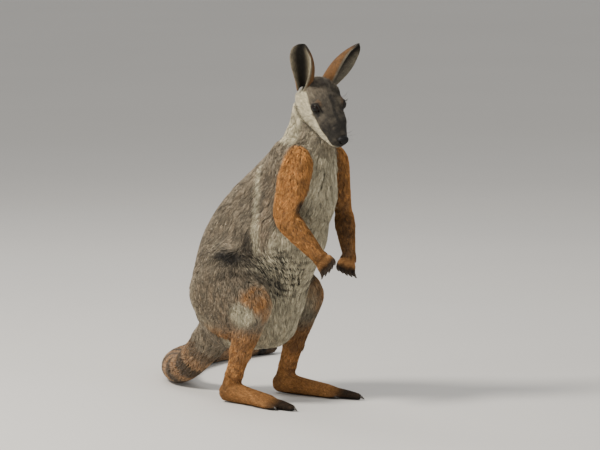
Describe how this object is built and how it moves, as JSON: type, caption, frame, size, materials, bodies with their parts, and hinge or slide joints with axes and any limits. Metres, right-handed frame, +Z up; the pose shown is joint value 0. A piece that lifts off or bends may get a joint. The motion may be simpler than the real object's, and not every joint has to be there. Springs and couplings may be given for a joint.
{
  "type": "wallaby",
  "caption": "Life-size still model of an alert rock-wallaby standing upright on its hind feet, forepaws together before the belly, head turned, long tail lying on the ground.",
  "frame": {"origin": "on the floor, below the middle of the whole model's box, so beside the right heel and the root of the tail rather than under the body's middle", "axes": "+Z up; the animal faces -Y, with its own left side towards +X; its head is turned 16 degrees to its right, and its tail curves away to its left"},
  "size_m": [0.5598, 0.6113, 0.5975],
  "materials": {
    "grey_coat": "soft grey-brown fur, paler on chest, belly and side stripe",
    "face_coat": "short dark grey-brown fur with a pale cheek stripe; orange ear backs and black paws",
    "rufous_coat": "short orange fur",
    "tail_coat": "fur in golden-brown and dark brown rings, dark towards the tip",
    "nose_skin": "bare black grained skin, slightly moist",
    "eye": "wet, very dark brown",
    "dark_claw": "dark horn, satin"
  },
  "bodies": {
    "root": {"trunk": "grey_coat", "neck": "grey_coat", "thigh_left": "grey_coat", "thigh_right": "grey_coat", "head": "face_coat", "ear_left": "face_coat", "ear_right": "face_coat", "hand_left": "face_coat", "hand_right": "face_coat", "upper_arm_left": "rufous_coat", "upper_arm_right": "rufous_coat", "forearm_left": "rufous_coat", "forearm_right": "rufous_coat", "shank_left": "rufous_coat", "shank_right": "rufous_coat", "foot_left": "rufous_coat", "foot_right": "rufous_coat", "tail_1": "tail_coat", "tail_2": "tail_coat", "tail_3": "tail_coat", "nose": "nose_skin", "eye_left": "eye", "eye_right": "eye", "hand_claw_left_1": "dark_claw", "hand_claw_left_2": "dark_claw", "hand_claw_left_3": "dark_claw", "hand_claw_left_4": "dark_claw", "hand_claw_left_5": "dark_claw", "hand_claw_right_1": "dark_claw", "hand_claw_right_2": "dark_claw", "hand_claw_right_3": "dark_claw", "hand_claw_right_4": "dark_claw", "hand_claw_right_5": "dark_claw", "claw_4_left": "dark_claw", "claw_4_right": "dark_claw", "claw_5_left": "dark_claw", "claw_5_right": "dark_claw", "claw_2_3_inner_left": "dark_claw", "claw_2_3_inner_right": "dark_claw", "claw_2_3_outer_left": "dark_claw", "claw_2_3_outer_right": "dark_claw"}
  },
  "joints": []
}
